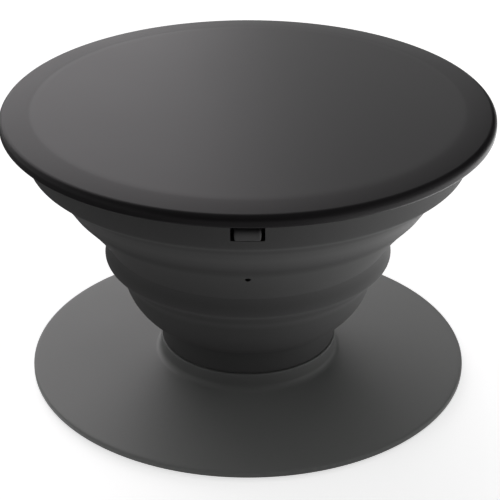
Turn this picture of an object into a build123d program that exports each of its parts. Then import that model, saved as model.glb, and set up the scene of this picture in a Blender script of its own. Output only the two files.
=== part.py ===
from build123d import *
import os

os.makedirs("parts", exist_ok=True)

# Collapsible phone grip, pulled out. Millimetres, +Z up, standing on the face that sticks to the phone.
# The origin is the centre of that face. One clip window and the vent hole face the front, -Y.

# Adhesive pad and platform
pad_radius = 17.2
pad_thickness = 0.4
base_radius = 18.38
base_edge_thickness = 0.45
base_edge_round = 0.18
base_rise = 0.6
collar_radius = 7.45
collar_height = 2.5
collar_foot_round = 0.5
collar_rim_round = 0.12

# Split snap post inside the neck
post_radius = 4.2
post_wall = 1.2
post_floor = 1.0
lip_overhang = 0.6
lip_height = 0.8
lip_lead = 0.45
slot_width = 0.8
slot_count = 4
slot_angle = 45
swivel_clearance = 0.06

# Bellows, from the neck up
wall = 0.62
flange_thickness = 1.0
neck_radius = 7.34
neck_height = 1.95
neck_round = 1.4
lower_shoulder_radius = 10.52
lower_shoulder_height = 4.3
lower_shoulder_bulge = 0.69
lower_step_height = 1.6
lower_step_hollow = 0.15
middle_ring_radius = 11.93
middle_ring_height = 1.6
middle_ring_flare = 0.28
middle_ring_wall = 1.0
waist_round = 0.15
upper_shoulder_radius = 14.72
upper_shoulder_height = 3.97
upper_shoulder_hollow = 0.12
upper_shoulder_round = 1.0
upper_step_height = 3.59
upper_step_hollow = 0.21
top_ring_radius = 17.8
top_ring_height = 2.72
top_ring_wall = 1.2
ring_edge_round = 0.25
crease_round = 0.3
vent_radius = 0.24
vent_rise = 2.84

# Clips between the disc and the bellows
clip_count = 4
front_angle = -90
window_width = 2.52
window_height = 1.1
window_rise = 0.7
barb_side_gap = 0.26
barb_top_gap = 0.2
barb_low_gap = 0.03
barb_stand_out = 0.03
barb_top_round = 0.4
barb_low_round = 0.12
barb_side_round = 0.1

# Disc
seat_clearance = 0.03
disc_radius = 19.87
disc_thickness = 1.12
flat_radius = 17.35
bevel_drop = 0.14
bevel_crown = 0.02
rim_top_round = 0.5
rim_low_round = 0.22
clip_ring_height = 2.2
clip_ring_wall = 1.1
clip_ring_clearance = 0.08
clip_ring_root_round = 0.25

# Heights of the stack
base_bottom = pad_thickness
base_edge_top = base_bottom + base_edge_thickness
collar_foot = base_edge_top + base_rise
collar_top = base_bottom + collar_height
bellows_bottom = collar_top + swivel_clearance
flange_top = bellows_bottom + flange_thickness
neck_top = bellows_bottom + neck_height
lower_shoulder_top = neck_top + lower_shoulder_height
middle_edge = lower_shoulder_top + lower_step_height
waist = middle_edge + middle_ring_height
upper_shoulder_top = waist + upper_shoulder_height
top_ring_bottom = upper_shoulder_top + upper_step_height
bellows_top = top_ring_bottom + top_ring_height
disc_bottom = bellows_top + seat_clearance
disc_top = disc_bottom + disc_thickness

# Fits between the pieces
lip_radius = post_radius + lip_overhang
lip_bottom = flange_top + swivel_clearance
lip_top = lip_bottom + lip_height
flange_bore = post_radius + swivel_clearance
waist_radius = middle_ring_radius - middle_ring_flare
top_ring_bore = top_ring_radius - top_ring_wall
clip_ring_radius = top_ring_bore - clip_ring_clearance
clip_ring_bore = clip_ring_radius - clip_ring_wall
clip_ring_bottom = disc_bottom - clip_ring_height
window_bottom = top_ring_bottom + window_rise
window_top = window_bottom + window_height
barb_radius = top_ring_radius + barb_stand_out
barb_root = clip_ring_radius - clip_ring_wall / 2
barb_width = window_width - 2 * barb_side_gap
barb_bottom = window_bottom + barb_low_gap
barb_top = window_top - barb_top_gap


def corner(section, radius, height):
    """The corner of a half section that lies at this radius and height."""
    return section.vertices().sort_by_distance((radius, height))[0]


def inside(radius, height, thickness=wall):
    """The point of the bellows' inner face behind a point of its outer face."""
    return (radius - thickness, height + wall)


# Adhesive pad
with BuildPart() as adhesive_pad:
    with BuildSketch():
        Circle(pad_radius)
    extrude(amount=pad_thickness)

adhesive_pad.part.label = "adhesive_pad"
export_step(adhesive_pad.part, "parts/adhesive_pad.step")


# Platform: a disc that thins towards its edge, the collar and the split snap post, in one moulding
with BuildPart() as base:
    with BuildSketch(Plane.XZ) as platform_section:
        with BuildLine():
            Polyline(
                (0, base_bottom),
                (base_radius, base_bottom),
                (base_radius, base_edge_top),
                (collar_radius, collar_foot),
                (collar_radius, collar_top),
                (0, collar_top),
                close=True,
            )
        make_face()
        fillet(corner(platform_section, base_radius, base_edge_top), base_edge_round)
        fillet(corner(platform_section, collar_radius, collar_foot), collar_foot_round)
        fillet(corner(platform_section, collar_radius, collar_top), collar_rim_round)
    revolve(axis=Axis.Z)
    with BuildSketch(Plane.XY.offset(collar_top)):
        Circle(post_radius)
    extrude(amount=lip_bottom - collar_top)
    with BuildSketch(Plane.XY.offset(lip_bottom)):
        Circle(lip_radius)
    extrude(amount=lip_height)
    chamfer(base.faces().sort_by(Axis.Z)[-1].edges(), lip_lead)
    with BuildSketch(Plane.XY.offset(base_bottom + post_floor)):
        Circle(post_radius - post_wall)
    extrude(amount=lip_top - base_bottom - post_floor, mode=Mode.SUBTRACT)
    with BuildSketch(Plane.XY.offset(collar_top)):
        with PolarLocations(post_radius, slot_count, start_angle=slot_angle):
            Rectangle(2 * (post_wall + lip_overhang), slot_width)
    extrude(amount=lip_top - collar_top, mode=Mode.SUBTRACT)

base.part.label = "base"
export_step(base.part, "parts/base.step")


# Bellows: one soft moulding, with stiff rings at the top and the middle and thinner walls between them
with BuildPart() as accordion:
    with BuildSketch(Plane.XZ) as bellows_section:
        with BuildLine():
            Polyline(
                (flange_bore, flange_top),
                (flange_bore, bellows_bottom),
                (neck_radius, bellows_bottom),
                (neck_radius, neck_top),
            )
            SagittaArc(
                (neck_radius, neck_top),
                (lower_shoulder_radius, lower_shoulder_top),
                -lower_shoulder_bulge,
            )
            SagittaArc(
                (lower_shoulder_radius, lower_shoulder_top),
                (middle_ring_radius, middle_edge),
                lower_step_hollow,
            )
            Line(
                (middle_ring_radius, middle_edge),
                (waist_radius, waist),
            )
            SagittaArc(
                (waist_radius, waist),
                (upper_shoulder_radius, upper_shoulder_top),
                upper_shoulder_hollow,
            )
            SagittaArc(
                (upper_shoulder_radius, upper_shoulder_top),
                (top_ring_radius, top_ring_bottom),
                upper_step_hollow,
            )
            Polyline(
                (top_ring_radius, top_ring_bottom),
                (top_ring_radius, bellows_top),
                (top_ring_bore, bellows_top),
                (top_ring_bore, top_ring_bottom),
                inside(upper_shoulder_radius, upper_shoulder_top),
            )
            SagittaArc(
                inside(upper_shoulder_radius, upper_shoulder_top),
                inside(waist_radius, waist, middle_ring_wall),
                -upper_shoulder_hollow,
            )
            Polyline(
                inside(waist_radius, waist, middle_ring_wall),
                inside(middle_ring_radius, middle_edge, middle_ring_wall),
                inside(lower_shoulder_radius, lower_shoulder_top),
            )
            SagittaArc(
                inside(lower_shoulder_radius, lower_shoulder_top),
                inside(neck_radius, neck_top),
                lower_shoulder_bulge,
            )
            Polyline(
                inside(neck_radius, neck_top),
                (neck_radius - wall, flange_top),
                (flange_bore, flange_top),
            )
        make_face()
        fillet(corner(bellows_section, middle_ring_radius, middle_edge), ring_edge_round)
        fillet(corner(bellows_section, top_ring_radius, top_ring_bottom), ring_edge_round)
        fillet(corner(bellows_section, neck_radius, neck_top), neck_round)
        fillet(corner(bellows_section, lower_shoulder_radius, lower_shoulder_top), crease_round)
        fillet(corner(bellows_section, waist_radius, waist), waist_round)
        fillet(corner(bellows_section, upper_shoulder_radius, upper_shoulder_top), upper_shoulder_round)
    revolve(axis=Axis.Z)
    with Locations((0, 0, (window_bottom + window_top) / 2)):
        with PolarLocations(top_ring_radius, clip_count, start_angle=front_angle):
            Box(3 * top_ring_wall, window_width, window_height, mode=Mode.SUBTRACT)
    with BuildSketch(Plane.XZ):
        with Locations((0, waist + vent_rise)):
            Circle(vent_radius)
    extrude(amount=top_ring_radius, mode=Mode.SUBTRACT)

accordion.part.label = "accordion"
export_step(accordion.part, "parts/accordion.step")


# One clip barb, a rounded tongue that fills its window down to the sill
with BuildPart() as barb:
    with BuildSketch(Plane.XZ) as barb_section:
        with BuildLine():
            Polyline(
                (barb_root, barb_bottom),
                (barb_radius, barb_bottom),
                (barb_radius, barb_top),
                (barb_root, barb_top),
                close=True,
            )
        make_face()
        fillet(corner(barb_section, barb_radius, barb_top), barb_top_round)
        fillet(corner(barb_section, barb_radius, barb_bottom), barb_low_round)
    extrude(amount=barb_width / 2, both=True)
    fillet(barb.faces().filter_by(Axis.Y).edges().sort_by(Axis.X)[2:], barb_side_round)


# Disc with its bevel ring, and the ring wall below it that plugs into the bellows and carries the barbs
with BuildPart() as top_disc:
    with BuildSketch(Plane.XZ) as disc_section:
        with BuildLine():
            Polyline(
                (flat_radius, disc_top),
                (0, disc_top),
                (0, disc_bottom),
                (clip_ring_bore, disc_bottom),
                (clip_ring_bore, clip_ring_bottom),
                (clip_ring_radius, clip_ring_bottom),
                (clip_ring_radius, disc_bottom),
                (disc_radius, disc_bottom),
                (disc_radius, disc_top - bevel_drop),
            )
            SagittaArc(
                (disc_radius, disc_top - bevel_drop),
                (flat_radius, disc_top),
                -bevel_crown,
            )
        make_face()
        fillet(corner(disc_section, disc_radius, disc_top - bevel_drop), rim_top_round)
        fillet(corner(disc_section, disc_radius, disc_bottom), rim_low_round)
        fillet(corner(disc_section, clip_ring_bore, disc_bottom), clip_ring_root_round)
    revolve(axis=Axis.Z)
    with PolarLocations(0, clip_count, start_angle=front_angle):
        add(barb.part)

top_disc.part.label = "top_disc"
export_step(top_disc.part, "parts/top_disc.step")
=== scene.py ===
import math

import bmesh
import bpy
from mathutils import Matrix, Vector


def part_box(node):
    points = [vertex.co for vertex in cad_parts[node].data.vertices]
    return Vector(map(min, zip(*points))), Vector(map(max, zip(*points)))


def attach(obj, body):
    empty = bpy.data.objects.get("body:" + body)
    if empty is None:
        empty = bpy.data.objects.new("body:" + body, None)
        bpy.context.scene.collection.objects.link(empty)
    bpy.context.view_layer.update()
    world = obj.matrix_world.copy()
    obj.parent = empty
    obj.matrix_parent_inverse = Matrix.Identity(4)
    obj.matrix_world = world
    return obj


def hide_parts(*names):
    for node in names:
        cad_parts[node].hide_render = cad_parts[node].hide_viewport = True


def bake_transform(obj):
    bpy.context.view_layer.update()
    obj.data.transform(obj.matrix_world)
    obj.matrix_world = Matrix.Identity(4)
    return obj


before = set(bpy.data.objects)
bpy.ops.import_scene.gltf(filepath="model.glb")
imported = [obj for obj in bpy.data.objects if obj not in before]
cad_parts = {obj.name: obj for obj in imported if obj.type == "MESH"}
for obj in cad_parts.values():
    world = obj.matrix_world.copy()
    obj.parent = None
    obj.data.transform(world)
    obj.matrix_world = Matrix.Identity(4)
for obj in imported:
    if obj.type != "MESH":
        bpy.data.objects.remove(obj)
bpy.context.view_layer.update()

# Sizes are millimetres until a mesh is made. The camera faces +Y, and the vent hole faces the camera.
MM = 0.001


def reach(node):
    """Radius, lowest and highest point of a round CAD node, in millimetres."""
    low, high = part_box(node)
    return high.x / MM, low.z / MM, high.z / MM


DISC_RADIUS, CLIP_RING_BOTTOM, DISC_TOP = reach("top_disc")
TOP_RING_RADIUS, BELLOWS_BOTTOM, BELLOWS_TOP = reach("accordion")
BASE_RADIUS, BASE_BOTTOM, LIP_TOP = reach("base")
PAD_RADIUS, PAD_BOTTOM, PAD_TOP = reach("adhesive_pad")

# Disc
DISC_THICKNESS = 1.12
FLAT_RADIUS = 17.35
BEVEL_DROP = 0.2
BEVEL_CROWN = 0.02
RIM_TOP_ROUND = 0.5
RIM_LOW_ROUND = 0.22
CLIP_RING_RADIUS = 16.52
CLIP_RING_WALL = 1.1
CLIP_RING_ROUND = 0.2
DISC_BOTTOM = DISC_TOP - DISC_THICKNESS

# Bellows, each height above the corner before it
WALL = 0.62
FLANGE_BORE = 4.26
FLANGE_THICKNESS = 1.0
FLANGE_ROUND = 0.08
NECK_RADIUS = 7.34
NECK_HEIGHT = 1.95
NECK_ROUND = 1.4
LOWER_SHOULDER_RADIUS = 10.52
LOWER_SHOULDER_HEIGHT = 4.3
LOWER_SHOULDER_BULGE = 0.69
LOWER_STEP_HEIGHT = 1.6
LOWER_STEP_HOLLOW = 0.15
MIDDLE_RING_RADIUS = 11.93
MIDDLE_RING_HEIGHT = 1.6
MIDDLE_RING_FLARE = 0.28
MIDDLE_RING_WALL = 1.0
WAIST_ROUND = 0.15
UPPER_SHOULDER_RADIUS = 14.72
UPPER_SHOULDER_HEIGHT = 3.97
UPPER_SHOULDER_HOLLOW = 0.12
UPPER_SHOULDER_ROUND = 1.0
UPPER_STEP_HEIGHT = 3.59
UPPER_STEP_HOLLOW = 0.21
TOP_RING_WALL = 1.2
RING_EDGE_ROUND = 0.25
CREASE_ROUND = 0.3
RIM_ROUND = 0.1
NECK_TOP = BELLOWS_BOTTOM + NECK_HEIGHT
LOWER_SHOULDER = NECK_TOP + LOWER_SHOULDER_HEIGHT
MIDDLE_EDGE = LOWER_SHOULDER + LOWER_STEP_HEIGHT
WAIST = MIDDLE_EDGE + MIDDLE_RING_HEIGHT
UPPER_SHOULDER = WAIST + UPPER_SHOULDER_HEIGHT
TOP_RING_BOTTOM = UPPER_SHOULDER + UPPER_STEP_HEIGHT
WAIST_RADIUS = MIDDLE_RING_RADIUS - MIDDLE_RING_FLARE
FOLD_END = TOP_RING_BOTTOM

# Clips and vent
CLIP_COUNT = 4
FRONT_TURN = math.radians(-90)
WINDOW_WIDTH = 2.52
WINDOW_HEIGHT = 1.1
WINDOW_RISE = 0.7
WINDOW_CORNER = 0.08
WINDOW_LIP = 0.04
BARB_WIDTH = 2.0
BARB_HEIGHT = 1.02
BARB_RISE = 0.71
BARB_STAND_OUT = 0.03
BARB_TOP_BOW = 0.34
BARB_LOW_BOW = 0.03
BARB_FACE_ROUND = 0.48
BARB_SIDE_ROUND = 0.16
VENT_RADIUS = 0.24
VENT_RISE = 2.84
VENT_HEIGHT = WAIST + VENT_RISE

# Platform
BASE_EDGE_THICKNESS = 0.45
BASE_EDGE_ROUND = 0.18
BASE_LOW_ROUND = 0.06
BASE_RISE = 0.6
COLLAR_RADIUS = 7.45
COLLAR_HEIGHT = 2.5
COLLAR_TOP = BASE_BOTTOM + COLLAR_HEIGHT
COLLAR_FOOT_ROUND = 0.5
COLLAR_RIM_ROUND = 0.12
POST_RADIUS = 4.2
POST_BORE = 3.0
POST_FLOOR = 1.0
LIP_RADIUS = 4.8
LIP_HEIGHT = 0.8
LIP_LEAD = 0.45
SLOT_COUNT = 4
SLOT_WIDTH = 0.8
SLOT_TURN = math.radians(45)

# The slots are cut as far out as the lip's radius times this
SLOT_OVERRUN = 1.2

# Adhesive pad
PAD_EDGE_ROUND = 0.1

# Fineness of the meshes. Points that lie closer than MERGE_DISTANCE metres become one.
SEGMENTS = 288
CORNER_POINTS = 6
BARB_POINTS = 29
BAR_POINTS = 33
VENT_POINTS = 24
FOLD_SPACING = 0.3
PLATE_SPACING = 0.52
MERGE_DISTANCE = 1e-7
SMOOTH_ANGLE = math.radians(32)


class Socket:
    """An output of a node. Arithmetic on it adds Math nodes to the same tree."""

    def __init__(self, nodes, socket):
        self.nodes = nodes
        self.socket = socket

    def out(self, name):
        """Another output of the same node."""
        return Socket(self.nodes, self.socket.node.outputs[name])

    def math(self, operation, *values):
        return self.nodes.node("ShaderNodeMath", {"operation": operation}, dict(enumerate(values)))

    def __add__(self, other):
        return self.math("ADD", self, other)

    def __sub__(self, other):
        return self.math("SUBTRACT", self, other)

    def __mul__(self, other):
        return self.math("MULTIPLY", self, other)

    def __truediv__(self, other):
        return self.math("DIVIDE", self, other)

    def __mod__(self, other):
        return self.math("MODULO", self, other)

    def __radd__(self, other):
        return self.math("ADD", other, self)

    def __rsub__(self, other):
        return self.math("SUBTRACT", other, self)

    def __rmul__(self, other):
        return self.math("MULTIPLY", other, self)

    def __rtruediv__(self, other):
        return self.math("DIVIDE", other, self)

    def __rmod__(self, other):
        return self.math("MODULO", other, self)

    def at_least(self, other):
        return self.math("MAXIMUM", self, other)


class Nodes:
    """A node tree with one way to add a node."""

    def __init__(self, tree):
        self.tree = tree

    def node(self, kind, settings=None, sockets=None):
        """Adds a node: its settings first, then the values or links of its sockets, by name or number."""
        node = self.tree.nodes.new(kind)
        for name, value in (settings or {}).items():
            setattr(node, name, value)
        for key, value in (sockets or {}).items():
            socket = self.find(node.inputs, key)
            for link in value if isinstance(value, list) else [value]:
                if isinstance(link, Socket):
                    self.tree.links.new(link.socket, socket)
                else:
                    socket.default_value = link
        shown = [s for s in node.outputs if s.enabled]
        return Socket(self, shown[0]) if shown else None

    @staticmethod
    def find(inputs, key):
        if isinstance(key, int):
            return inputs[key]
        return next(s for s in inputs if s.name == key and s.enabled)


# Turned pieces


class PieceTree(Nodes):
    """A geometry tree that turns a half section about Z. Its inputs are the piece's sizes, in metres."""

    KINDS = {int: "NodeSocketInt", float: "NodeSocketFloat", bpy.types.Material: "NodeSocketMaterial"}

    def __init__(self, name, **sizes):
        super().__init__(bpy.data.node_groups.new(name, "GeometryNodeTree"))
        self.name = name
        self.sizes = sizes
        self.identifiers = {}
        interface = self.tree.interface
        interface.new_socket("section", in_out="INPUT", socket_type="NodeSocketGeometry")
        interface.new_socket("piece", in_out="OUTPUT", socket_type="NodeSocketGeometry")
        for size, value in sizes.items():
            socket = interface.new_socket(size, in_out="INPUT", socket_type=self.KINDS[type(value)])
            self.identifiers[size] = socket.identifier
        self.entry = self.tree.nodes.new("NodeGroupInput")

    def size(self, name):
        return Socket(self, self.entry.outputs[name])

    def turned(self, closed):
        """The half section with its corners rounded, turned about Z into a closed skin."""
        curve = self.node("GeometryNodeMeshToCurve", {}, {"Mesh": self.size("section")})
        rounding = self.node("GeometryNodeInputNamedAttribute", {"data_type": "FLOAT"}, {"Name": "rounding"})
        rounded = self.node("GeometryNodeFilletCurve", {"mode": "POLY"}, {
            "Curve": curve, "Count": CORNER_POINTS, "Radius": rounding, "Limit Radius": True})
        points = self.node("GeometryNodeAttributeDomainSize", {"component": "CURVE"}, {"Geometry": rounded})
        rows = points + (1 if closed else 0)
        segments = self.size("segments")
        grid = self.node("GeometryNodeMeshGrid", {}, {
            "Size X": 1.0, "Size Y": 1.0, "Vertices X": segments + 1, "Vertices Y": rows})
        index = self.node("GeometryNodeInputIndex")
        column = self.node("ShaderNodeMath", {"operation": "FLOOR"}, {0: index / rows})
        place = self.node("GeometryNodeInputPosition")
        on_section = self.node("GeometryNodeSampleIndex", {"data_type": "FLOAT_VECTOR"}, {
            "Geometry": rounded, "Value": place, "Index": index % rows % points})
        parts = self.node("ShaderNodeSeparateXYZ", {}, {"Vector": on_section})
        turn = column % segments / segments * math.tau
        cosine = self.node("ShaderNodeMath", {"operation": "COSINE"}, {0: turn})
        sine = self.node("ShaderNodeMath", {"operation": "SINE"}, {0: turn})
        turned_place = self.node("ShaderNodeCombineXYZ", {}, {
            "X": parts.out("X") * cosine, "Y": parts.out("X") * sine, "Z": parts.out("Z")})
        skin = self.node("GeometryNodeSetPosition", {}, {"Geometry": grid, "Position": turned_place})
        return self.node("GeometryNodeMergeByDistance", {}, {"Geometry": skin, "Distance": MERGE_DISTANCE})

    def plate(self, width, height, corner):
        """The outline of a plate with rounded corners."""
        outline = self.node("GeometryNodeCurvePrimitiveQuadrilateral", {}, {"Width": width, "Height": height})
        return self.node("GeometryNodeFilletCurve", {"mode": "POLY"}, {
            "Curve": outline, "Count": CORNER_POINTS, "Radius": corner, "Limit Radius": True})

    def bar(self, outline, start, end, height, flare):
        """A bar of this outline along +X at a height. flare(length) scales the outline along the bar."""
        ends = [self.node("ShaderNodeCombineXYZ", {}, {"X": x, "Z": height}) for x in (start, end)]
        line = self.node("GeometryNodeCurvePrimitiveLine", {}, {"Start": ends[0], "End": ends[1]})
        fine = self.node("GeometryNodeResampleCurve", {}, {"Curve": line, "Count": BAR_POINTS})
        upright = self.node("GeometryNodeSetCurveNormal", {"mode": "Z_UP"}, {"Curve": fine})
        length = self.node("GeometryNodeSplineParameter").out("Length")
        return self.node("GeometryNodeCurveToMesh", {}, {
            "Curve": upright, "Profile Curve": outline, "Scale": flare(length), "Fill Caps": True})

    def placed(self, part, place):
        return self.node("GeometryNodeTransform", {}, {"Geometry": part, "Translation": place})

    def tongue(self, size, low_bow, top_bow, face_round, side_round):
        """A rounded block about the origin. Its outer face bows in by low_bow below and top_bow above."""
        cube = self.node("GeometryNodeMeshCube", {}, {
            "Size": size, "Vertices X": BARB_POINTS, "Vertices Y": BARB_POINTS, "Vertices Z": BARB_POINTS})
        place = self.node("GeometryNodeInputPosition")
        height = self.node("ShaderNodeSeparateXYZ", {}, {"Vector": place}).out("Z")
        half = self.vector("SCALE", size, 0.5)
        half_height = self.node("ShaderNodeSeparateXYZ", {}, {"Vector": half}).out("Z")
        bow = self.node("ShaderNodeMapRange", {}, {
            "Value": height, "From Min": 0 - half_height, "From Max": half_height,
            "To Min": low_bow, "To Max": top_bow})
        round_off = self.node("ShaderNodeCombineXYZ", {}, {"X": bow, "Y": side_round, "Z": face_round})
        reach_out = self.vector("SUBTRACT", half, round_off)
        reach_back = self.vector("SCALE", reach_out, -1.0)
        core = self.vector("MAXIMUM", self.vector("MINIMUM", place, reach_out), reach_back)
        from_core = self.vector("SUBTRACT", place, core)
        outward = self.vector("NORMALIZE", self.vector("DIVIDE", from_core, round_off))
        rounded = self.vector("ADD", core, self.vector("MULTIPLY", outward, round_off))
        return self.node("GeometryNodeSetPosition", {}, {"Geometry": cube, "Position": rounded})

    def vector(self, operation, *values):
        node_values = dict(enumerate(values))
        if operation == "SCALE":
            node_values = {0: values[0], "Scale": values[1]}
        return self.node("ShaderNodeVectorMath", {"operation": operation}, node_values)

    def ring_of(self, part, count, first_turn):
        """Copies of a part, spaced evenly around Z."""
        points = self.node("GeometryNodePoints", {}, {"Count": count})
        index = self.node("GeometryNodeInputIndex")
        turn = self.node("ShaderNodeCombineXYZ", {}, {"Z": index / count * math.tau + first_turn})
        copies = self.node("GeometryNodeInstanceOnPoints", {}, {
            "Points": points, "Instance": part, "Rotation": turn})
        return self.node("GeometryNodeRealizeInstances", {}, {"Geometry": copies})

    def cut(self, body, *tools):
        settings = {"operation": "DIFFERENCE", "solver": "MANIFOLD"}
        return self.node("GeometryNodeMeshBoolean", settings, {0: body, 1: list(tools)})

    def fuse(self, *bodies):
        settings = {"operation": "UNION", "solver": "MANIFOLD"}
        return self.node("GeometryNodeMeshBoolean", settings, {1: list(bodies)})

    def make(self, skin, outline, closed):
        """Runs the tree on a half section and returns the piece as an object with a plain mesh."""
        real = self.node("GeometryNodeRealizeInstances", {}, {"Geometry": skin})
        coated = self.node("GeometryNodeSetMaterial", {}, {"Geometry": real, "Material": self.size("finish")})
        self.node("NodeGroupOutput", {}, {"piece": coated})
        carrier = section_object(self.name + "_section", outline, closed)
        modifier = carrier.modifiers.new("turn", "NODES")
        modifier.node_group = self.tree
        for size, value in self.sizes.items():
            modifier[self.identifiers[size]] = value
        evaluated = carrier.evaluated_get(bpy.context.evaluated_depsgraph_get())
        mesh = bpy.data.meshes.new_from_object(evaluated)
        bpy.data.objects.remove(carrier)
        mesh.materials.clear()
        mesh.materials.append(self.sizes["finish"])
        smooth_outward(mesh)
        mesh.name = self.name
        piece = bpy.data.objects.new(self.name, mesh)
        bpy.context.scene.collection.objects.link(piece)
        return piece


def smooth_outward(mesh):
    """Faces point out of the closed skin, and only real edges are sharp."""
    shell = bmesh.new()
    shell.from_mesh(mesh)
    bmesh.ops.remove_doubles(shell, verts=shell.verts, dist=MERGE_DISTANCE)
    bmesh.ops.recalc_face_normals(shell, faces=shell.faces)
    shell.to_mesh(mesh)
    shell.free()
    mesh.polygons.foreach_set("use_smooth", [True] * len(mesh.polygons))
    mesh.set_sharp_from_angle(angle=SMOOTH_ANGLE)


def section_object(name, outline, closed):
    """A half section as a chain of edges in the XZ plane, with the rounding of each corner."""
    mesh = bpy.data.meshes.new(name)
    last = len(outline) - 1
    edges = [(i, i + 1) for i in range(last)]
    if closed:
        edges.append((last, 0))
    mesh.from_pydata([(radius * MM, 0, height * MM) for radius, height, _ in outline], edges, [])
    rounding = mesh.attributes.new("rounding", "FLOAT", "POINT")
    rounding.data.foreach_set("value", [corner * MM for _, _, corner in outline])
    carrier = bpy.data.objects.new(name, mesh)
    bpy.context.scene.collection.objects.link(carrier)
    return carrier


def stretch(start, end, bulge, spacing):
    """Points from start to just before end, clear of both roundings, bowed to the right by bulge."""
    a, b = Vector(start[:2]), Vector(end[:2])
    along = b - a
    right = Vector((along.y, -along.x)).normalized()
    steps = max(1, round(along.length / spacing))
    points = [(*start[:2], start[2])]
    for i in range(1, steps):
        t = i / steps
        point = a + along * t + right * bulge * 4 * t * (1 - t)
        if (point - a).length > start[2] and (point - b).length > end[2]:
            points.append((point.x, point.y, 0.0))
    return points


def outline_of(corners, spacing, closed):
    """Points of a half section from its corners: radius, height, rounding, bulge of the line after it."""
    points = []
    ends = corners[1:] + corners[:1] if closed else corners[1:]
    for corner, end in zip(corners, ends):
        bulge = corner[3] if len(corner) > 3 else 0.0
        points += stretch(corner[:3], end[:3], bulge, spacing)
    if not closed:
        points.append(corners[-1][:3])
    return points


def behind(radius, height, wall=WALL):
    """The inner face's corner behind a corner of the bellows' outer face."""
    return radius - wall, height + WALL


def make_bellows():
    """Soft stepped bellows with clip windows in its top ring and a vent hole in front."""
    bore = TOP_RING_RADIUS - TOP_RING_WALL
    flange_top = BELLOWS_BOTTOM + FLANGE_THICKNESS
    corners = [
        (FLANGE_BORE, flange_top, FLANGE_ROUND),
        (FLANGE_BORE, BELLOWS_BOTTOM, FLANGE_ROUND),
        (NECK_RADIUS, BELLOWS_BOTTOM, RIM_ROUND),
        (NECK_RADIUS, NECK_TOP, NECK_ROUND, LOWER_SHOULDER_BULGE),
        (LOWER_SHOULDER_RADIUS, LOWER_SHOULDER, CREASE_ROUND, -LOWER_STEP_HOLLOW),
        (MIDDLE_RING_RADIUS, MIDDLE_EDGE, RING_EDGE_ROUND),
        (WAIST_RADIUS, WAIST, WAIST_ROUND, -UPPER_SHOULDER_HOLLOW),
        (UPPER_SHOULDER_RADIUS, UPPER_SHOULDER, UPPER_SHOULDER_ROUND, -UPPER_STEP_HOLLOW),
        (TOP_RING_RADIUS, TOP_RING_BOTTOM, RING_EDGE_ROUND),
        (TOP_RING_RADIUS, BELLOWS_TOP, RIM_ROUND),
        (bore, BELLOWS_TOP, RIM_ROUND),
        (bore, TOP_RING_BOTTOM, CREASE_ROUND),
        (*behind(UPPER_SHOULDER_RADIUS, UPPER_SHOULDER), CREASE_ROUND, UPPER_SHOULDER_HOLLOW),
        (*behind(WAIST_RADIUS, WAIST, MIDDLE_RING_WALL), CREASE_ROUND),
        (*behind(MIDDLE_RING_RADIUS, MIDDLE_EDGE, MIDDLE_RING_WALL), CREASE_ROUND),
        (*behind(LOWER_SHOULDER_RADIUS, LOWER_SHOULDER), CREASE_ROUND, -LOWER_SHOULDER_BULGE),
        (*behind(NECK_RADIUS, NECK_TOP), CREASE_ROUND),
        (NECK_RADIUS - WALL, flange_top, CREASE_ROUND),
    ]
    tree = PieceTree(
        "bellows",
        segments=SEGMENTS,
        window_count=CLIP_COUNT,
        window_width=WINDOW_WIDTH * MM,
        window_height=WINDOW_HEIGHT * MM,
        window_middle=(TOP_RING_BOTTOM + WINDOW_RISE + WINDOW_HEIGHT / 2) * MM,
        window_lip=WINDOW_LIP * MM,
        ring_bore=bore * MM,
        ring_radius=TOP_RING_RADIUS * MM,
        vent_radius=VENT_RADIUS * MM,
        vent_height=VENT_HEIGHT * MM,
        finish=bellows_rubber(),
    )
    skin = tree.turned(closed=True)
    # A window's cutter runs from one wall inside the ring to one wall outside it, and widens from the lip on
    ring_wall = tree.size("ring_radius") - tree.size("ring_bore")
    half_width = tree.size("window_width") / 2
    start = tree.size("ring_bore") - ring_wall
    lip_at = 2 * ring_wall - tree.size("window_lip")
    plate = tree.plate(tree.size("window_width"), tree.size("window_height"), WINDOW_CORNER * MM)
    window = tree.bar(
        plate, start, start + 3 * ring_wall, tree.size("window_middle"),
        lambda length: 1 + (length - lip_at).at_least(0) / half_width)
    windows = tree.ring_of(window, tree.size("window_count"), FRONT_TURN)
    hole = tree.node("GeometryNodeCurvePrimitiveCircle", {}, {
        "Resolution": VENT_POINTS, "Radius": tree.size("vent_radius")})
    drill = tree.bar(hole, start / 2, start + 2 * ring_wall, tree.size("vent_height"), lambda length: 1.0)
    vent = tree.ring_of(drill, 1, FRONT_TURN)
    skin = tree.cut(skin, windows, vent)
    return tree.make(skin, outline_of(corners, FOLD_SPACING, True), True)


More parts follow.
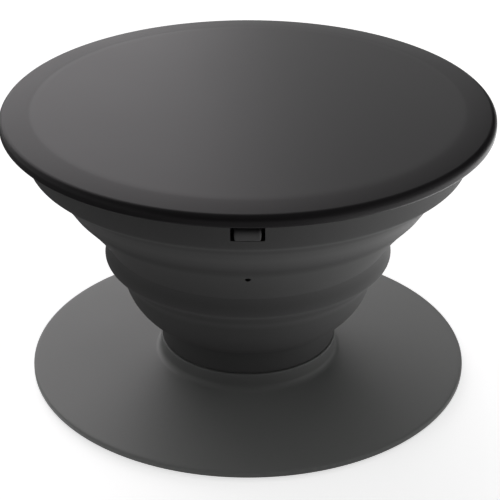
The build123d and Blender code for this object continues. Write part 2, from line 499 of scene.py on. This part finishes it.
def make_disc():
    """Rigid disc with its bevel ring, and the ring wall below it with a barb for each clip window."""
    clip_bore = CLIP_RING_RADIUS - CLIP_RING_WALL
    barb_radius = TOP_RING_RADIUS + BARB_STAND_OUT
    corners = [
        (0.0, DISC_TOP, 0.0),
        (FLAT_RADIUS, DISC_TOP, 0.0, -BEVEL_CROWN),
        (DISC_RADIUS, DISC_TOP - BEVEL_DROP, RIM_TOP_ROUND),
        (DISC_RADIUS, DISC_BOTTOM, RIM_LOW_ROUND),
        (CLIP_RING_RADIUS, DISC_BOTTOM, CLIP_RING_ROUND),
        (CLIP_RING_RADIUS, CLIP_RING_BOTTOM, RIM_ROUND),
        (clip_bore, CLIP_RING_BOTTOM, RIM_ROUND),
        (clip_bore, DISC_BOTTOM, CLIP_RING_ROUND),
        (0.0, DISC_BOTTOM, 0.0),
    ]
    tree = PieceTree(
        "grip_disc",
        segments=SEGMENTS,
        barb_count=CLIP_COUNT,
        barb_width=BARB_WIDTH * MM,
        barb_height=BARB_HEIGHT * MM,
        barb_middle=(TOP_RING_BOTTOM + BARB_RISE + BARB_HEIGHT / 2) * MM,
        barb_radius=barb_radius * MM,
        barb_low_bow=BARB_LOW_BOW * MM,
        barb_top_bow=BARB_TOP_BOW * MM,
        barb_face_round=BARB_FACE_ROUND * MM,
        barb_side_round=BARB_SIDE_ROUND * MM,
        ring_radius=CLIP_RING_RADIUS * MM,
        finish=disc_plastic(),
    )
    skin = tree.turned(closed=False)
    root = tree.size("ring_radius") - CLIP_RING_WALL / 2 * MM
    depth = tree.size("barb_radius") - root
    size = tree.node("ShaderNodeCombineXYZ", {}, {
        "X": depth, "Y": tree.size("barb_width"), "Z": tree.size("barb_height")})
    place = tree.node("ShaderNodeCombineXYZ", {}, {"X": root + depth / 2, "Z": tree.size("barb_middle")})
    tongue = tree.tongue(
        size, tree.size("barb_low_bow"), tree.size("barb_top_bow"),
        tree.size("barb_face_round"), tree.size("barb_side_round"))
    barb = tree.placed(tongue, place)
    barbs = tree.ring_of(barb, tree.size("barb_count"), FRONT_TURN)
    skin = tree.fuse(skin, barbs)
    return tree.make(skin, outline_of(corners, PLATE_SPACING, False), False)


def make_platform():
    """Thin platform with the collar that the bellows turns on, and the split snap post inside its neck."""
    foot = BASE_BOTTOM + BASE_EDGE_THICKNESS + BASE_RISE
    lip_bottom = LIP_TOP - LIP_HEIGHT
    corners = [
        (0.0, BASE_BOTTOM + POST_FLOOR, 0.0),
        (POST_BORE, BASE_BOTTOM + POST_FLOOR, CREASE_ROUND),
        (POST_BORE, LIP_TOP, RIM_ROUND),
        (LIP_RADIUS - LIP_LEAD, LIP_TOP, RIM_ROUND),
        (LIP_RADIUS, LIP_TOP - LIP_LEAD, RIM_ROUND),
        (LIP_RADIUS, lip_bottom, 0.0),
        (POST_RADIUS, lip_bottom, 0.0),
        (POST_RADIUS, COLLAR_TOP, 0.0),
        (COLLAR_RADIUS, COLLAR_TOP, COLLAR_RIM_ROUND),
        (COLLAR_RADIUS, foot, COLLAR_FOOT_ROUND),
        (BASE_RADIUS, BASE_BOTTOM + BASE_EDGE_THICKNESS, BASE_EDGE_ROUND),
        (BASE_RADIUS, BASE_BOTTOM, BASE_LOW_ROUND),
        (0.0, BASE_BOTTOM, 0.0),
    ]
    tree = PieceTree(
        "platform",
        segments=SEGMENTS,
        slot_count=SLOT_COUNT,
        slot_width=SLOT_WIDTH * MM,
        slot_bottom=COLLAR_TOP * MM,
        post_top=LIP_TOP * MM,
        post_radius=LIP_RADIUS * MM,
        finish=platform_plastic(),
    )
    skin = tree.turned(closed=False)
    depth = tree.size("post_top") - tree.size("slot_bottom")
    plate = tree.plate(tree.size("slot_width"), 2 * depth, 0.0)
    radius = tree.size("post_radius")
    slot = tree.bar(plate, radius / 2, radius * SLOT_OVERRUN, tree.size("post_top"), lambda length: 1.0)
    slots = tree.ring_of(slot, tree.size("slot_count"), SLOT_TURN)
    skin = tree.cut(skin, slots)
    return tree.make(skin, outline_of(corners, PLATE_SPACING, False), False)


def make_gel_pad():
    """Thin gel disc that sticks the platform to a phone."""
    corners = [
        (0.0, PAD_TOP, 0.0),
        (PAD_RADIUS, PAD_TOP, PAD_EDGE_ROUND),
        (PAD_RADIUS, PAD_BOTTOM, PAD_EDGE_ROUND),
        (0.0, PAD_BOTTOM, 0.0),
    ]
    tree = PieceTree("gel_pad", segments=SEGMENTS, finish=adhesive_gel())
    skin = tree.turned(closed=False)
    return tree.make(skin, outline_of(corners, PLATE_SPACING, False), False)


# Finishes


class Finish(Nodes):
    """A procedural material on the object's own coordinates, in metres."""

    def __init__(self, name):
        self.material = bpy.data.materials.new(name)
        self.material.use_nodes = True
        self.material.node_tree.nodes.clear()
        super().__init__(self.material.node_tree)
        self.place = self.node("ShaderNodeTexCoord").out("Object")
        parts = self.node("ShaderNodeSeparateXYZ", {}, {"Vector": self.place})
        self.height = parts.out("Z")
        flat = self.node("ShaderNodeVectorMath", {"operation": "MULTIPLY"}, {0: self.place, 1: (1, 1, 0)})
        self.radius = self.node("ShaderNodeVectorMath", {"operation": "LENGTH"}, {0: flat}).out("Value")

    def noise(self, size, detail):
        """Smooth noise from 0 to 1 with features about this many millimetres across."""
        return self.node("ShaderNodeTexNoise", {}, {
            "Vector": self.place, "Scale": 1 / (size * MM), "Detail": detail}).out("Fac")

    def ramp(self, value, low, high):
        """0 at low, 1 at high, smooth between them."""
        return self.node("ShaderNodeMapRange", {"interpolation_type": "SMOOTHSTEP"}, {
            "Value": value, "From Min": low, "From Max": high})

    def band(self, height, half_width):
        """1 at a height in millimetres, fading to 0 at half_width above and below it."""
        away = self.node("ShaderNodeMath", {"operation": "ABSOLUTE"}, {0: self.height - height * MM})
        return self.ramp(away, half_width * MM, 0.0)

    def blend(self, factor, first, second):
        return self.node("ShaderNodeMix", {"data_type": "RGBA"}, {"Factor": factor, "A": first, "B": second})

    def bump(self, height, depth):
        """A normal from a height of 0 to 1 that stands for depth millimetres."""
        return self.node("ShaderNodeBump", {}, {"Height": height, "Distance": depth * MM, "Strength": 1.0})

    def surface(self, color, rough, specular, normal):
        """The material with these inputs on its surface."""
        shader = self.node("ShaderNodeBsdfPrincipled", {}, {
            "Base Color": color, "Roughness": rough, "Specular IOR Level": specular, "Normal": normal})
        self.node("ShaderNodeOutputMaterial", {}, {"Surface": shader})
        return self.material


def grey(level, plum=0.0):
    """A near-neutral colour. plum tips it from green towards red and blue."""
    return (level * (1 + plum), level * (1 - plum), level * (1 + plum), 1.0)


# All finishes. Sizes and depths of patterns are millimetres.
CLOUD_DETAIL = 2.0
GRAIN_DETAIL = 3.0

# Disc plastic
DISC_DARK = grey(0.011, 0.04)
DISC_LIGHT = grey(0.0125, 0.05)
DISC_WORN = grey(0.016)
# Painted light on the lower clip barbs. Their tops keep the dark disc colour as painted shade.
DISC_CLIP_PAINTED_LIGHT = grey(0.1)
DISC_CLOUD = 7.0
DISC_GRAIN = 0.16
DISC_GRAIN_DEPTH = 0.0012
DISC_WEAR = 0.3
DISC_WEAR_WIDTH = 0.5
BEVEL_FADE_IN = 0.1
BEVEL_FADE_OUT = 0.2
CLIP_FADE_TOP = 0.2
CLIP_FADE_LOW = 0.1
DISC_ROUGH = 0.27
DISC_CLOUD_ROUGH = 0.03
DISC_GRAIN_ROUGH = 0.03
DISC_BEVEL_ROUGH = 0.06
DISC_RIM_ROUGH = 0.04
DISC_CLIP_ROUGH = 0.15
DISC_SPECULAR = 0.074

# Bellows rubber, with painted light in paler bands on the fold edges, and painted shade in darker bands under
# the top ring, in the crease below the upper shoulder and on the middle ring
RUBBER_DARK = grey(0.083)
RUBBER_LIGHT = grey(0.091)
RUBBER_SPECK = grey(0.096)
# Colours of the painted light on the fold edges and of the painted shade in the folds
RUBBER_PAINTED_LIGHT = grey(0.108)
RUBBER_PAINTED_SHADE = grey(0.07)
RUBBER_CLOUD = 3.5
RUBBER_GRAIN = 0.14
RUBBER_GRAIN_DEPTH = 0.004
# Heights and widths of the painted light and painted shade bands
STEP_PAINTED_LIGHT = 0.75
STEP_PAINTED_LIGHT_RISE = 1.4
STEP_PAINTED_LIGHT_WIDTH = 1.0
EDGE_PAINTED_LIGHT_WIDTH = 0.22
CREASE_PAINTED_LIGHT_RISE = 0.15
CREASE_PAINTED_LIGHT_WIDTH = 0.5
STEP_PAINTED_SHADE_DROP = 0.6
STEP_PAINTED_SHADE_WIDTH = 0.7
CREASE_PAINTED_SHADE_DROP = 0.15
CREASE_PAINTED_SHADE_WIDTH = 0.9
RING_PAINTED_SHADE = 0.45
RING_PAINTED_SHADE_WIDTH = 0.8
RUBBER_ROUGH = 0.56
RUBBER_CLOUD_ROUGH = 0.06
RUBBER_GRAIN_ROUGH = 0.08
RUBBER_SPECULAR = 0.043

# Platform plastic
PLATFORM_DARK = grey(0.215, -0.01)
PLATFORM_LIGHT = grey(0.23, -0.01)
PLATFORM_SPECK = grey(0.245, -0.01)
# Painted shade on the collar, which is tucked under the bellows and the disc
PLATFORM_COLLAR_SHADE = grey(0.17, -0.01)
PLATFORM_CLOUD = 5.0
PLATFORM_GRAIN = 0.13
PLATFORM_GRAIN_DEPTH = 0.004
PLATFORM_ROUGH = 0.42
PLATFORM_CLOUD_ROUGH = 0.04
PLATFORM_GRAIN_ROUGH = 0.08
PLATFORM_SPECULAR = 0.2

# Adhesive gel
GEL_DARK = grey(0.012)
GEL_LIGHT = grey(0.02)
GEL_WAVE = 1.6
GEL_WAVE_DEPTH = 0.01
GEL_GRAIN = 0.2
GEL_ROUGH = 0.22
GEL_GRAIN_ROUGH = 0.12
GEL_SPECULAR = 0.5


def disc_plastic():
    """Satin moulded plastic, very dark and faintly plum, coarser on the bevel ring. The clip barbs are
    rougher, with painted shade at their top under the disc and painted light making them paler towards their
    bottom.
    """
    finish = Finish("disc_plastic")
    cloud = finish.noise(DISC_CLOUD, CLOUD_DETAIL)
    grain = finish.noise(DISC_GRAIN, GRAIN_DETAIL)
    rim = finish.ramp(finish.radius, (DISC_RADIUS - DISC_WEAR_WIDTH) * MM, DISC_RADIUS * MM)
    bevel = finish.ramp(
        finish.radius, (FLAT_RADIUS - BEVEL_FADE_IN) * MM, (FLAT_RADIUS + BEVEL_FADE_OUT) * MM)
    barb_bottom = TOP_RING_BOTTOM + BARB_RISE
    # Painted shade and light down the clip barbs: dark at the top under the disc, paler towards the bottom
    clip_shade_ramp = finish.ramp(
        finish.height, (barb_bottom + BARB_HEIGHT + CLIP_FADE_TOP) * MM, (barb_bottom + CLIP_FADE_LOW) * MM)
    color = finish.blend(cloud, DISC_DARK, DISC_LIGHT)
    wear_and_shade = finish.blend(rim * grain * DISC_WEAR, color, DISC_WORN)
    clip_painted_light = finish.blend(clip_shade_ramp, wear_and_shade, DISC_CLIP_PAINTED_LIGHT)
    satin = DISC_ROUGH + cloud * DISC_CLOUD_ROUGH + grain * DISC_GRAIN_ROUGH
    rough = satin + bevel * DISC_BEVEL_ROUGH + rim * DISC_RIM_ROUGH + clip_shade_ramp * DISC_CLIP_ROUGH
    return finish.surface(clip_painted_light, rough, DISC_SPECULAR, finish.bump(grain, DISC_GRAIN_DEPTH))


def bellows_rubber():
    """Soft matte elastomer, with painted light on its fold edges and painted shade in its folds and on its
    middle ring.
    """
    finish = Finish("bellows_rubber")
    cloud = finish.noise(RUBBER_CLOUD, CLOUD_DETAIL)
    grain = finish.noise(RUBBER_GRAIN, GRAIN_DETAIL)
    color = finish.blend(cloud, RUBBER_DARK, RUBBER_LIGHT)
    speck = finish.blend(grain, color, RUBBER_SPECK)
    # Painted light: paler bands on the step above the upper shoulder, on the middle ring's lower edge and on
    # the lower shoulder
    edges = (
        finish.band(UPPER_SHOULDER + STEP_PAINTED_LIGHT_RISE, STEP_PAINTED_LIGHT_WIDTH) * STEP_PAINTED_LIGHT
        + finish.band(MIDDLE_EDGE, EDGE_PAINTED_LIGHT_WIDTH)
        + finish.band(LOWER_SHOULDER + CREASE_PAINTED_LIGHT_RISE, CREASE_PAINTED_LIGHT_WIDTH)
    )
    # Painted shade: darker bands just under the top ring, in the crease below the upper shoulder, and at
    # reduced strength on the middle ring
    painted_shade_bands = (
        finish.band(TOP_RING_BOTTOM - STEP_PAINTED_SHADE_DROP, STEP_PAINTED_SHADE_WIDTH)
        + finish.band(UPPER_SHOULDER - CREASE_PAINTED_SHADE_DROP, CREASE_PAINTED_SHADE_WIDTH)
        + finish.band((MIDDLE_EDGE + WAIST) / 2, RING_PAINTED_SHADE_WIDTH) * RING_PAINTED_SHADE
    )
    with_painted_light = finish.blend(edges, speck, RUBBER_PAINTED_LIGHT)
    with_painted_shade = finish.blend(painted_shade_bands, with_painted_light, RUBBER_PAINTED_SHADE)
    rough = RUBBER_ROUGH + cloud * RUBBER_CLOUD_ROUGH + grain * RUBBER_GRAIN_ROUGH
    return finish.surface(with_painted_shade, rough, RUBBER_SPECULAR, finish.bump(grain, RUBBER_GRAIN_DEPTH))


def platform_plastic():
    """Matte plastic with a fine spark-eroded grain, with painted shade on the collar and its foot."""
    finish = Finish("platform_plastic")
    cloud = finish.noise(PLATFORM_CLOUD, CLOUD_DETAIL)
    grain = finish.noise(PLATFORM_GRAIN, GRAIN_DETAIL)
    color = finish.blend(cloud, PLATFORM_DARK, PLATFORM_LIGHT)
    speck = finish.blend(grain, color, PLATFORM_SPECK)
    # Painted shade: darker from the collar's foot in to the collar
    collar = finish.ramp(finish.radius, (COLLAR_RADIUS + COLLAR_FOOT_ROUND) * MM, COLLAR_RADIUS * MM)
    wear_and_shade = finish.blend(collar, speck, PLATFORM_COLLAR_SHADE)
    rough = PLATFORM_ROUGH + cloud * PLATFORM_CLOUD_ROUGH + grain * PLATFORM_GRAIN_ROUGH
    return finish.surface(wear_and_shade, rough, PLATFORM_SPECULAR, finish.bump(grain, PLATFORM_GRAIN_DEPTH))


def adhesive_gel():
    """Dark gel, glossy and slightly wavy."""
    finish = Finish("adhesive_gel")
    wave = finish.noise(GEL_WAVE, CLOUD_DETAIL)
    grain = finish.noise(GEL_GRAIN, GRAIN_DETAIL)
    color = finish.blend(wave, GEL_DARK, GEL_LIGHT)
    rough = GEL_ROUGH + grain * GEL_GRAIN_ROUGH
    return finish.surface(color, rough, GEL_SPECULAR, finish.bump(wave, GEL_WAVE_DEPTH))


# Studio, in metres. The camera's place, lens and sensor are in millimetres.

WHITE = grey(1)
FLOOR_HALF = 3.0
FLOOR_COLOR = grey(0.86)
FLOOR_GLOW = grey(0.7)
FLOOR_NEAR = 0.15
FLOOR_FAR = 0.5
CLOTH_COLOR = grey(0.01)
CLOTH_HALF_WIDTH = 0.7
CLOTH_FRONT = -0.8
CLOTH_BACK = 0.35
CLOTH_HEIGHT = 0.6
FLAG_LEFT = 0.27
FLAG_RIGHT = 2.0
FLAG_BACK = 1.0
FLAG_HEIGHT = 1.4
MAT_COLOR = grey(0.4)
MAT_LEFT = -0.2
MAT_RIGHT = -0.019
MAT_FRONT = -0.06
MAT_BACK = 0.2
MAT_HEIGHT = 0.0006
WORLD_LIGHT = 0.457
GRIP_MIDDLE = (0, 0, 0.02)
KEY_PLACE = (-0.292, 0.723, 0.45)
KEY_SIZE = (0.64, 0.6)
KEY_BRIGHTNESS = 1.79
KEY_COLOR = (1.0, 0.955, 0.985)
ROOF_GLOW_PLACE = (0, -0.15, 0.59)
ROOF_GLOW_AIM = (0, -0.15, 0)
ROOF_GLOW_SIZE = (0.9, 0.9)
ROOF_GLOW_BRIGHTNESS = 0.323
CARD_PLACE = (0.0805, 0, 0.0006)
CARD_AIM = (0.0805, 0, 1)
CARD_SIZE = (0.119, 0.11)
CARD_BRIGHTNESS = 1.937
LAMP_COLOR = (1, 1, 1)

# Watts for each square metre of a lamp that looks white
LAMP_POWER = 4

CAMERA_DISTANCE = 126.24
CAMERA_HEIGHT = 77.57
CAMERA_SIDE = 0.166
CAMERA_PITCH = math.radians(27.97)
CAMERA_NEAR = 0.01
LENS = 122.85
SENSOR = 36.0


def backdrop_share(nodes):
    """1 for rays that show the background: seen straight, in gloss or through glass."""
    path = nodes.node("ShaderNodeLightPath")
    seen = path.out("Is Camera Ray").at_least(path.out("Is Glossy Ray"))
    return seen.at_least(path.out("Is Transmission Ray"))


def level_corners(left, right, front, back, height):
    """Corners of a level panel, which faces up."""
    return [(left, front, height), (right, front, height), (right, back, height), (left, back, height)]


def standing_corners(left, right, depth, height):
    """Corners of a panel that stands on the floor."""
    return [(left, depth, 0), (right, depth, 0), (right, depth, height), (left, depth, height)]


def make_panel(name, corners, material):
    """A flat panel of the studio."""
    mesh = bpy.data.meshes.new(name)
    mesh.from_pydata(corners, [], [range(len(corners))])
    mesh.materials.append(material)
    panel = bpy.data.objects.new(name, mesh)
    bpy.context.scene.collection.objects.link(panel)
    return panel


def make_floor():
    """White floor that keeps the grip's shadow. From below it is clear, so that the underside shows."""
    finish = Finish("studio_floor")
    matte = finish.node("ShaderNodeBsdfDiffuse", {}, {"Color": FLOOR_COLOR})
    far = finish.ramp(finish.radius, FLOOR_NEAR, FLOOR_FAR)
    glow = finish.blend(far, FLOOR_GLOW, WHITE)
    white = finish.node("ShaderNodeEmission", {}, {"Color": glow, "Strength": backdrop_share(finish)})
    lit = finish.node("ShaderNodeAddShader", {}, {0: matte, 1: white})
    clear = finish.node("ShaderNodeBsdfTransparent")
    below = finish.node("ShaderNodeNewGeometry").out("Backfacing")
    shader = finish.node("ShaderNodeMixShader", {}, {0: below, 1: lit, 2: clear})
    finish.node("ShaderNodeOutputMaterial", {}, {"Surface": shader})
    corners = level_corners(-FLOOR_HALF, FLOOR_HALF, -FLOOR_HALF, FLOOR_HALF, 0)
    floor = make_panel("studio_floor", corners, finish.material)


def make_cloth(name, corners, color=CLOTH_COLOR, shades=True):
    """Studio cloth out of the camera's sight. One that doesn't shade is only mirrored by the grip."""
    finish = Finish(name)
    cloth = finish.node("ShaderNodeBsdfDiffuse", {}, {"Color": color})
    finish.node("ShaderNodeOutputMaterial", {}, {"Surface": cloth})
    panel = make_panel(name, corners, finish.material)
    panel.visible_camera = False
    panel.visible_diffuse = shades
    panel.visible_shadow = shades


def make_cloths():
    """A roof over the grip, a curtain behind the camera, a flag at the back right and a mat at the left."""
    side = CLOTH_HALF_WIDTH
    roof = level_corners(-side, side, CLOTH_FRONT, CLOTH_BACK, CLOTH_HEIGHT)
    curtain = standing_corners(-side, side, CLOTH_FRONT, CLOTH_HEIGHT)
    flag = standing_corners(FLAG_LEFT, FLAG_RIGHT, FLAG_BACK, FLAG_HEIGHT)
    mat = level_corners(MAT_LEFT, MAT_RIGHT, MAT_FRONT, MAT_BACK, MAT_HEIGHT)
    make_cloth("roof_cloth", roof)
    make_cloth("front_cloth", curtain)
    make_cloth("flag_cloth", flag)
    make_cloth("floor_mat", mat, MAT_COLOR, shades=False)


def make_softbox(name, place, aim, width, height, brightness, color=LAMP_COLOR):
    """Area lamp that faces aim. Brightness 1 looks white."""
    lamp = bpy.data.lights.new(name, "AREA")
    lamp.shape = "RECTANGLE"
    lamp.size = width
    lamp.size_y = height
    lamp.color = color
    lamp.energy = brightness * LAMP_POWER * width * height
    box = bpy.data.objects.new(name, lamp)
    box.location = place
    box.rotation_euler = (Vector(aim) - Vector(place)).to_track_quat("-Z", "Y").to_euler()
    box.visible_camera = False
    bpy.context.scene.collection.objects.link(box)


def make_lamps():
    """A softbox at the back left, a faint glow from the roof, and a bright card on the floor at the right."""
    make_softbox("key", KEY_PLACE, GRIP_MIDDLE, *KEY_SIZE, KEY_BRIGHTNESS, KEY_COLOR)
    make_softbox("roof_glow", ROOF_GLOW_PLACE, ROOF_GLOW_AIM, *ROOF_GLOW_SIZE, ROOF_GLOW_BRIGHTNESS)
    make_softbox("floor_card", CARD_PLACE, CARD_AIM, *CARD_SIZE, CARD_BRIGHTNESS)


def make_world():
    """A world that looks white and lights the grip with less."""
    world = bpy.data.worlds.new("studio")
    world.use_nodes = True
    world.node_tree.nodes.clear()
    nodes = Nodes(world.node_tree)
    strength = WORLD_LIGHT + backdrop_share(nodes) * (1 - WORLD_LIGHT)
    sky = nodes.node("ShaderNodeBackground", {}, {"Color": WHITE, "Strength": strength})
    nodes.node("ShaderNodeOutputWorld", {}, {"Surface": sky})
    bpy.context.scene.world = world


def make_camera():
    """A long lens in front of the grip that looks down at it."""
    lens = bpy.data.cameras.new("camera")
    lens.lens = LENS
    lens.sensor_width = SENSOR
    lens.clip_start = CAMERA_NEAR
    camera = bpy.data.objects.new("camera", lens)
    camera.location = (CAMERA_SIDE * MM, -CAMERA_DISTANCE * MM, CAMERA_HEIGHT * MM)
    camera.rotation_euler = (math.pi / 2 - CAMERA_PITCH, 0, 0)
    bpy.context.scene.collection.objects.link(camera)
    bpy.context.scene.camera = camera


# The grip

bellows = make_bellows()
FOLD_END * MM
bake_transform(bellows)
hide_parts("accordion")

grip_disc = make_disc()
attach(grip_disc, "disc")
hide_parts("top_disc")

platform = make_platform()
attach(platform, "base")
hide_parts("base")

gel_pad = make_gel_pad()
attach(gel_pad, "base")
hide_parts("adhesive_pad")

make_floor()
make_cloths()
make_lamps()
make_world()
make_camera()
bpy.context.scene.view_settings.view_transform = "Standard"
